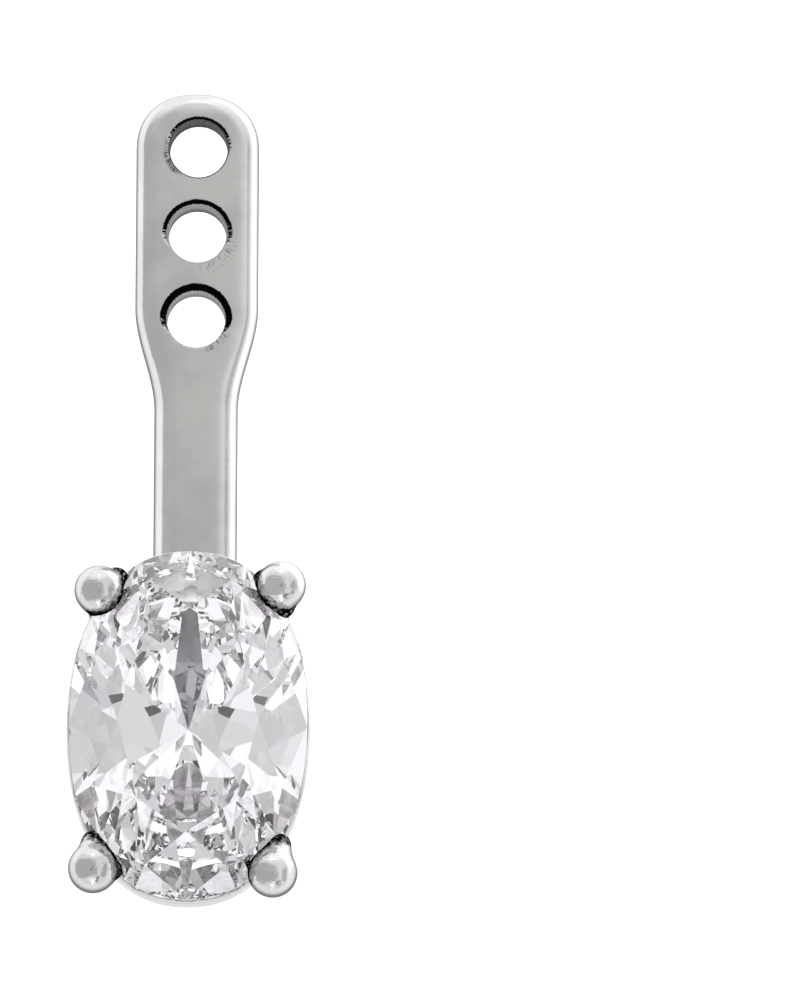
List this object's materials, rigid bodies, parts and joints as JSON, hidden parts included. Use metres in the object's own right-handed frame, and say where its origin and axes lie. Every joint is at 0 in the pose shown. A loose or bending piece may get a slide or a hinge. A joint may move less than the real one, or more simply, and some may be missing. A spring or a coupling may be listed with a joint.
{
  "type": "ear jacket earring",
  "caption": "Silver ear jacket: a flat bar with a row of post holes that carries an oval brilliant in a four-claw basket below the ear lobe.",
  "frame": {"origin": "centre of the middle post hole, halfway through the bar", "axes": "+Z along the post holes and out of the stone's face, +Y up the bar away from the stone, +X to the right as the wearer's jewel is looked at; the jewel lies flat on its back"},
  "size_m": [0.005, 0.0174, 0.0036],
  "materials": {
    "silver": "polished silver, worn bright on the edges and dark in the corners",
    "stone": "clear polished facets"
  },
  "bodies": {
    "root": {"jacket_frame": "silver", "oval_stone": "stone"}
  },
  "joints": []
}
